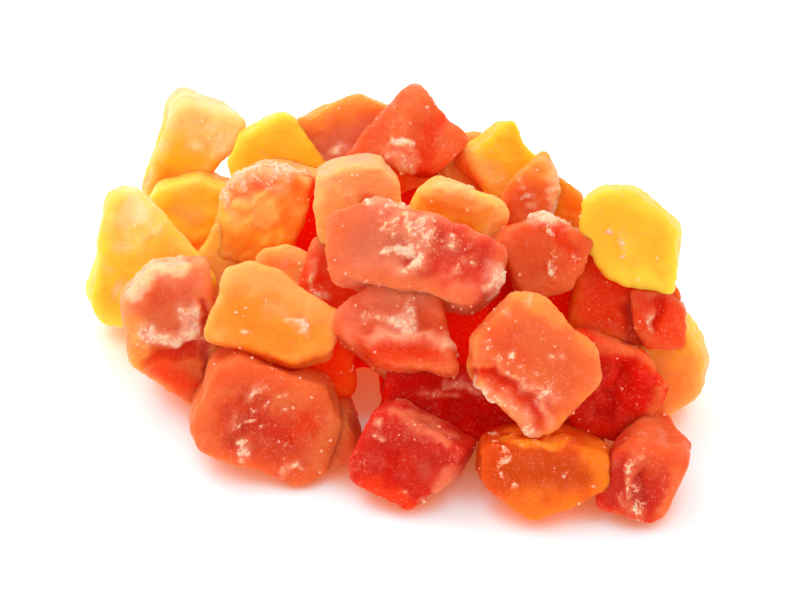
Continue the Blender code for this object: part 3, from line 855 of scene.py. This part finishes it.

# %% [markdown]
# ## The mound inside
#
# Between the chunks one looks into deep red fruit. Chunks that nobody sees would fill the gaps,
# at a cost, and a low mound of the same fruit does as well. It is a stack of rings that follows
# the solid's own core, with a bite out of its front where the chunks stand round a recess. Its
# bright reds and its faint glow are painted light, for light that comes through the fruit.

# %% The core mound
CORE_MIDDLE = (3, 1.5)
CORE_LEVELS = ((0.15, 37, 30, 0), (7, 34, 28, 1), (14, 23, 20, 5), (20, 16, 13, 6), (25, 8, 7, 6))
CORE_SIDES = 48
RECESS_BEARING = math.radians(-110)
RECESS_SPREAD = 0.26
RECESS_SHARE = 0.55
CORE_LUMPS, CORE_SINK = 4 * MM, 0.65
MOTTLE_SIZE = 5


def core_share(bearing):
    """How much of its full radius the mound keeps on this bearing: all of it but at the recess."""
    off = math.remainder(bearing - RECESS_BEARING, math.tau) / RECESS_SPREAD
    return 1 - RECESS_SHARE * math.exp(-off * off)


bpy.ops.object.select_all(action="DESELECT")
bpy.ops.mesh.primitive_circle_add(vertices=CORE_SIDES, radius=MM, fill_type="NGON")
core = bpy.context.object
bpy.ops.object.mode_set(mode="EDIT")
bpy.ops.transform.translate(value=(0, 0, CORE_LEVELS[0][0] * MM))
bpy.ops.transform.resize(value=(CORE_LEVELS[0][1], CORE_LEVELS[0][2], 1))
for (height, width, depth, aside), (higher, wide, deep, shift) in zip(CORE_LEVELS, CORE_LEVELS[1:]):
    rise = ((shift - aside) * MM, 0, (higher - height) * MM)
    bpy.ops.mesh.extrude_region_move(TRANSFORM_OT_translate={"value": rise})
    bpy.ops.transform.resize(value=(wide / width, deep / depth, 1))
bpy.ops.mesh.select_all(action="SELECT")
bpy.ops.mesh.normals_make_consistent(inside=False)
bpy.ops.object.mode_set(mode="OBJECT")
widest = CORE_LEVELS[0]
for vert in core.data.vertices:
    share = core_share(math.atan2(vert.co.y / widest[2], vert.co.x / widest[1]))
    vert.co.x = share * vert.co.x + (CORE_MIDDLE[0] + CENTRED.x) * MM
    vert.co.y = share * vert.co.y + (CORE_MIDDLE[1] + CENTRED.y) * MM
finish_with(core, "REMESH", mode="VOXEL", voxel_size=2 * VOXEL)
lumpy(core, LUMPS, CORE_LUMPS, CORE_SINK)
core_points = read(core.data, "co", 3)
core_points[:, 2] = np.maximum(core_points[:, 2], TABLE_GAP * MM)
write_points(core.data, core_points)
# Bright reds mottled at random: painted light in the gaps, for light that comes through the fruit.
mottle = 0.5 + 0.5 * rough(core_points / MM, MOTTLE_SIZE, 50)
core_colour = blend(np.tile(LIGHT["deep"], (len(mottle), 1)), LIGHT["ruby"], mottle)
keep_skin(core.data, core_colour, np.zeros(len(mottle)))
core = joined("heap_core", [core])
print("core", len(core.data.polygons) * 2, "triangles")

# %% [markdown]
# ## Sugar crystals
#
# Loose crystals about half a millimetre across sit on the skin, most of them where the crust is.
# One crystal is modelled, a cube with its corners bevelled, and copied in code. The skin's points
# are spread evenly by the remesh, so a random draw of points is an even scatter, and the sugar
# attribute makes some places likelier. A fixed seed gives the same scatter every time. The chances
# hold for points at the even spacing named below, and a coarser skin's are raised to match.

# %% One crystal
CRYSTAL_CUTS = (((0.3, 0.3, 0.3), (1, 1, 1)), ((-0.3, -0.3, 0.3), (-1, -1, 1.4)))

bpy.ops.object.select_all(action="DESELECT")
bpy.ops.mesh.primitive_cube_add(size=1)
crystal = bpy.context.object
bpy.ops.object.mode_set(mode="EDIT")
for point, normal in CRYSTAL_CUTS:
    bisect(point, normal, clear_outer=True)
bpy.ops.mesh.select_all(action="SELECT")
bpy.ops.mesh.quads_convert_to_tris()
bpy.ops.object.mode_set(mode="OBJECT")
crystal_points = read(crystal.data, "co", 3)
crystal_faces = np.array([face.vertices[:] for face in crystal.data.polygons])
bpy.data.objects.remove(crystal)
print("a crystal has", len(crystal_faces), "triangles")

# %% Scattering crystals
CRYSTAL_SIZES = (0.16, 0.5)
BARE_CHANCE = 0.006
CRUST_CHANCE = 0.055
EVEN_SPACING = 0.4 * MM
CROWD_SIZE = 4
LOWEST_CRYSTAL = 0.6 * MM
CRYSTAL_LIFT = 0.15
draw = random.Random(17)


def scattered(piece):
    """Where this piece's crystals sit: points, outward directions and flesh colours."""
    mesh = piece.data
    sugar = np.empty(len(mesh.vertices), np.float32)
    mesh.attributes["sugar"].data.foreach_get("value", sugar)
    flesh = np.empty(len(mesh.vertices) * 4, np.float32)
    mesh.attributes["flesh"].data.foreach_get("color", flesh)
    thin_out = (VOXEL / EVEN_SPACING) ** 2
    places = read(mesh, "co", 3)
    crowd = np.clip(0.5 + 2.2 * rough(places / MM, CROWD_SIZE, 70), 0.1, 2.5)
    high_enough = places[:, 2] > LOWEST_CRYSTAL
    chances = thin_out * (BARE_CHANCE * crowd + CRUST_CHANCE * sugar) * high_enough
    chosen = [index for index, chance in enumerate(chances) if draw.random() < chance]
    return places[chosen], read(mesh, "normal", 3)[chosen], flesh.reshape(-1, 4)[chosen, :3]


def crystal_turn():
    return np.array(Euler([draw.uniform(0, math.tau) for _ in range(3)]).to_matrix())


scatter = [scattered(piece) for piece in fruit.values()]
seats, outs, tints = (np.concatenate(rows) for rows in zip(*scatter))
bodies, colours = [], []
for seat, out, tint in zip(seats, outs, tints):
    size = draw.triangular(*CRYSTAL_SIZES, CRYSTAL_SIZES[0]) * MM
    bodies.append(crystal_points @ crystal_turn() * size + seat + out * CRYSTAL_LIFT * size)
    colours.append(np.tile(tint, (len(crystal_points), 1)))
shifts = np.arange(len(seats))[:, None, None] * len(crystal_points)
sugar_mesh = bpy.data.meshes.new("sugar_crystals")
sugar_faces = (crystal_faces + shifts).reshape(-1, 3)
sugar_mesh.from_pydata(np.concatenate(bodies).tolist(), [], sugar_faces.tolist())
keep_attribute(sugar_mesh, "flesh", "FLOAT_COLOR", "color",
               np.c_[np.concatenate(colours), np.ones(len(seats) * len(crystal_points))])
crystals = bpy.data.objects.new("sugar_crystals", sugar_mesh)
bpy.context.scene.collection.objects.link(crystals)
print(len(seats), "crystals,", len(sugar_mesh.polygons), "triangles")

# %% [markdown]
# ## Shader maths as sums
#
# A material is a graph of nodes, and a graph is hard to read as code. A small class wraps a
# socket, so that `0.3 + 0.4 * sugar` adds the Math nodes that it stands for, and one method adds
# any other node.

# %% Shader helpers
class Value:
    """A socket that takes part in sums."""

    def __init__(self, finish, socket):
        self.finish = finish
        self.socket = socket

    def __add__(self, other):
        return self.finish.math("ADD", self, other)

    def __sub__(self, other):
        return self.finish.math("SUBTRACT", self, other)

    def __rsub__(self, other):
        return self.finish.math("SUBTRACT", other, self)

    def __mul__(self, other):
        return self.finish.math("MULTIPLY", self, other)

    __radd__ = __add__
    __rmul__ = __mul__


class Finish:
    """A material under construction."""

    def __init__(self, name):
        self.material = bpy.data.materials.new(name)
        self.material.use_nodes = True
        self.tree = self.material.node_tree
        self.surface = self.tree.nodes["Principled BSDF"]

    def node(self, kind, settings=None, values=None, output=0):
        """Any node: its type, its settings, the values or links of its sockets, and the output wanted."""
        made = self.tree.nodes.new(kind)
        for name, value in (settings or {}).items():
            setattr(made, name, value)
        for socket, value in (values or {}).items():
            self.set(made.inputs[socket], value)
        return Value(self, made.outputs[output])

    def set(self, socket, value):
        if isinstance(value, Value):
            self.tree.links.new(value.socket, socket)
        else:
            socket.default_value = value

    def math(self, operation, *values):
        return self.node("ShaderNodeMath", {"operation": operation}, dict(enumerate(values)))

    def between(self, low_end, high_end, value):
        """0 below the low end, 1 above the high end, and smooth between."""
        return self.node("ShaderNodeMapRange", {"interpolation_type": "SMOOTHSTEP"},
                         {"Value": value, "From Min": low_end, "From Max": high_end})

    def mix(self, share, colour, other, how="MIX"):
        return self.node("ShaderNodeMix", {"data_type": "RGBA", "blend_type": how},
                         {0: share, 6: colour, 7: other}, 2)

    def skin(self, name, output=0):
        """An attribute kept on the mesh: output 0 is its colour, 2 its value."""
        return self.node("ShaderNodeAttribute", {"attribute_name": name}, output=output)

    def noise(self, size, detail=2.0, roughness=0.5):
        """Cloudy noise with features of this many millimetres."""
        place = self.node("ShaderNodeTexCoord", output=3)
        return self.node("ShaderNodeTexNoise", values={
            "Vector": place, "Scale": 1 / (size * MM), "Detail": detail, "Roughness": roughness})

    def wear(self, **sockets):
        """Sets the shader's sockets, whose names are written with underscores."""
        for name, value in sockets.items():
            self.set(self.surface.inputs[name.replace("_", " ")], value)


print("helpers ready")

# %% [markdown]
# ## The flesh
#
# Candied flesh is a dense jelly: light goes in, travels a few millimetres and comes out redder.
# That is subsurface scattering, and it does most of the work. Over it lie three things: cloudy
# variation in the flesh, a thin hazy bloom of syrup that dried matt, and white sugar where the
# skin carries it. The relief adds grain, creases and the edges of the crust, which are finer than
# the mesh. Each kind differs in how deep light goes and how much bloom it has, and some kinds glow
# faintly red: painted light from inside, which stands in for light shining through the fruit and
# warms their shaded edges.

# %% The flesh finish
BUMP_STRENGTH, BUMP_HEIGHT = 0.7, 0.3 * MM
FLESH_IOR = 1.45
COLOUR_TRAVEL = (1.0, 0.38, 0.14)
DEEPER = (0.98, 0.84, 0.72, 1.0)
PAINTED_GLOW = (1.0, 0.01, 0.0, 1.0)
PINK, SUGAR = ((*LIGHT[name], 1.0) for name in ("pink", "sugar"))


def candied(name, depth, haze, gloss, shine, glow=0.0):
    """Flesh that light enters this many millimetres deep, with this much hazy bloom.

    The gloss is its roughness where it is bare, the shine is how much it mirrors, and the glow is
    the strength of a painted red light from inside.
    """
    flesh = Finish(name)
    sugar = flesh.skin("sugar", 2)
    flaky = flesh.noise(0.5, 4.0, 0.7)
    colour = flesh.skin("flesh")
    deeper = flesh.mix(1.0, colour, DEEPER, "MULTIPLY")
    colour = flesh.mix(flesh.between(0.4, 0.75, flesh.noise(4.5, 3.0)) * 0.5, colour, deeper)
    bloom = flesh.between(0.5, 0.72, flesh.noise(2.8, 4.0, 0.65)) * haze
    colour = flesh.mix(bloom, colour, PINK)
    dusty = flesh.between(0.45, 0.7, flesh.noise(5.0, 2.0)) * haze * 3.0
    thick = 1.2 * sugar + flesh.between(0.32, 0.68, flaky) - 1.0 + 0.3 * dusty
    colour = flesh.mix(flesh.between(-0.3, 0.4, thick) * 0.6, colour, PINK)
    crust = flesh.between(0.15, 0.7, thick)
    colour = flesh.mix(crust * 0.9, colour, SUGAR)
    creased = flesh.math("ABSOLUTE", flesh.noise(2.4, 3.0, 0.6) - 0.5)
    grain = 0.45 * flesh.noise(0.7, 3.0, 0.6) + 0.3 * flesh.noise(0.32, 2.0)
    relief = grain + 1.6 * creased + crust * 0.7 * flaky
    bump = flesh.node("ShaderNodeBump", values={
        "Height": relief, "Strength": BUMP_STRENGTH, "Distance": BUMP_HEIGHT})
    flesh.wear(Base_Color=colour, Roughness=gloss + 0.22 * bloom + 0.3 * crust, Normal=bump,
               IOR=FLESH_IOR, Specular_IOR_Level=shine,
               Subsurface_Weight=1.0, Subsurface_Scale=depth * MM, Subsurface_Radius=COLOUR_TRAVEL,
               Emission_Color=PAINTED_GLOW, Emission_Strength=glow)
    return flesh.material


# The last number is a painted glow from inside.
FINISHES = {
    "lemon": candied("lemon_flesh", 6, 0.06, 0.34, 0.15, 0.12),
    "honey": candied("honey_flesh", 6, 0.05, 0.32, 0.09, 0.12),
    "peach": candied("peach_flesh", 6, 0.15, 0.42, 0.12, 0.1),
    "salmon": candied("salmon_flesh", 5, 0.18, 0.42, 0.10, 0.05),
    "coral": candied("coral_flesh", 5, 0.10, 0.38, 0.07),
    "red": candied("red_flesh", 5, 0.15, 0.38, 0.07),
    "deep_red": candied("deep_red_flesh", 5, 0.08, 0.36, 0.05),
    # The gap fillers glow most: painted light in the crevices.
    "inner": candied("gap_flesh", 5, 0.0, 0.40, 0.0, 0.22),
}
# The mound glows faintly: painted light.
CORE_FINISH = candied("inner_flesh", 5, 0.0, 0.40, 0.0, 0.1)
print(len(FINISHES) + 1, "flesh finishes")

# %% [markdown]
# ## Crystals that take their chunk's colour
#
# A sugar crystal is clear, so against fruit it looks like fruit washed with white. Mixing the
# flesh colour under it towards white does that without the cost of real refraction. A faint glow
# in the flesh colour on top of that is painted light.

# %% The crystal finish
CRYSTAL_IOR = 1.54
sugar_finish = Finish("crystal_sugar")
fruit_under = sugar_finish.skin("flesh")
tinted = sugar_finish.mix(0.25 + 0.35 * sugar_finish.noise(1.2), SUGAR, fruit_under)
# The emission in the colour of the fruit under it is painted light.
sugar_finish.wear(Base_Color=tinted, Roughness=0.16 + 0.2 * sugar_finish.noise(0.6),
                  IOR=CRYSTAL_IOR, Emission_Color=fruit_under, Emission_Strength=0.2)
print("crystals tinted")

# %% [markdown]
# ## Handing the pieces over
#
# Every piece rides on the one body there is, stands for the solid, and takes its finish.

# %% Handing over
def hand_over(piece, finish):
    piece.data.materials.clear()
    piece.data.materials.append(finish)
    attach(piece, "root")
    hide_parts("papaya_heap")


for kind, piece in fruit.items():
    hand_over(piece, FINISHES[kind])
hand_over(core, CORE_FINISH)
hand_over(crystals, sugar_finish.material)
print(len(fruit) + 2, "pieces handed over")

# %% [markdown]
# ## The white table
#
# The heap lies on a plain white table. Light that has passed through the fruit colours the table
# where the chunks crowd it, and most of all in the recess at the front. Tracing that light
# through the flesh would take long, so the table paints it: it finds how much sky each place sees,
# with an Ambient Occlusion node, and where it sees little it takes a darker warm colour, a painted
# shadow, and glows in the colour of the fruit, a painted light.

# %% The white table
TABLE_SIDE = 4

# How far off chunks hide the sky, and what share of open sky counts as crowded and as open.
SKY_REACH = 6 * MM
SHADED, OPEN = 0.2, 0.68

# The recess, and the distances from its middle between which its stronger painted shadow and
# glow fade.
RECESS_MIDDLE = Vector((-4, -16.5, 0)) * MM
RECESS_FROM, RECESS_TO = 3.5 * MM, 9 * MM
# Where the sky is hidden: a painted warm shadow in the colour and painted fruit light in the glow.
PAINTED_SHADOW_BASE, BARE_BASE = (0.80, 0.46, 0.30, 1), (0.92, 0.95, 0.95, 1)
PAINTED_FRUIT_GLOW, BARE_GLOW = (0.28, 0.07, 0.015, 1), (0.14, 0.20, 0.21, 1)

bpy.ops.object.select_all(action="DESELECT")
bpy.ops.mesh.primitive_plane_add(size=TABLE_SIDE)
table = bpy.context.object
table.name = "white_table"
white = Finish("white_table")
open_sky = white.node("ShaderNodeAmbientOcclusion", {"samples": 8}, {"Distance": SKY_REACH}, 1)
table_place = white.node("ShaderNodeTexCoord", output=3)
from_recess = white.node("ShaderNodeVectorMath", {"operation": "DISTANCE"},
                         {0: table_place, 1: RECESS_MIDDLE}, 1)
outside = white.between(RECESS_FROM, RECESS_TO, from_recess)
bare = white.between(SHADED, OPEN, open_sky) * (0.1 + 0.9 * outside)
white.wear(Base_Color=white.mix(bare, PAINTED_SHADOW_BASE, BARE_BASE), Roughness=0.6,
           Emission_Color=white.mix(bare, PAINTED_FRUIT_GLOW, BARE_GLOW), Emission_Strength=1.0)
table.data.materials.append(white.material)
print("table", TABLE_SIDE, "m wide")

# %% [markdown]
# ## The light
#
# A bright white room gives nearly all the light, so that shadows stay soft. One large lamp, above,
# behind and to the left, adds the soft shine that a window gives.

# %% The light
ROOM_STRENGTH = 1.1
WINDOW_AT, WINDOW_AIM = Vector((-0.35, 0.42, 0.62)), Vector((0, 0, 0.01))
WINDOW_SIDE = 0.6
WINDOW_POWER = 2.2

room = bpy.data.worlds.new("white room")
bpy.context.scene.world = room
room.use_nodes = True
sky = room.node_tree.nodes["Background"].inputs
sky["Color"].default_value = (1, 1, 1, 1)
sky["Strength"].default_value = ROOM_STRENGTH
lamp = bpy.data.lights.new("window light", "AREA")
lamp.shape = "SQUARE"
lamp.size = WINDOW_SIDE
lamp.energy = WINDOW_POWER
window = bpy.data.objects.new("window light", lamp)
bpy.context.scene.collection.objects.link(window)
window.location = WINDOW_AT
window.rotation_euler = (WINDOW_AIM - WINDOW_AT).to_track_quat("-Z", "Y").to_euler()
print("window light", WINDOW_POWER, "W")

# %% [markdown]
# ## The camera
#
# The camera looks down on the heap from near by, as one does at a table, through a long lens that
# keeps the chunks in proportion. The colours were chosen as they look on a screen, so the view
# transform that keeps them is used.

# %% The camera
ELEVATION = math.radians(40)
DISTANCE = 0.450
AIM = Vector((1.35, -8.5, 14)) * MM
LENS, SENSOR = 121.5, 36
NEAREST = 0.01

camera_data = bpy.data.cameras.new("camera")
camera_data.sensor_width = SENSOR
camera_data.lens = LENS
camera_data.clip_start = NEAREST
camera = bpy.data.objects.new("camera", camera_data)
bpy.context.scene.collection.objects.link(camera)
camera.location = AIM + DISTANCE * Vector((0, -math.cos(ELEVATION), math.sin(ELEVATION)))
camera.rotation_euler = (AIM - camera.location).to_track_quat("-Z", "Y").to_euler()
bpy.context.scene.camera = camera
bpy.context.scene.view_settings.view_transform = "Standard"
print("camera", DISTANCE, "m from the heap")

# %% [markdown]
# ## The end

# %% The end
print("done")
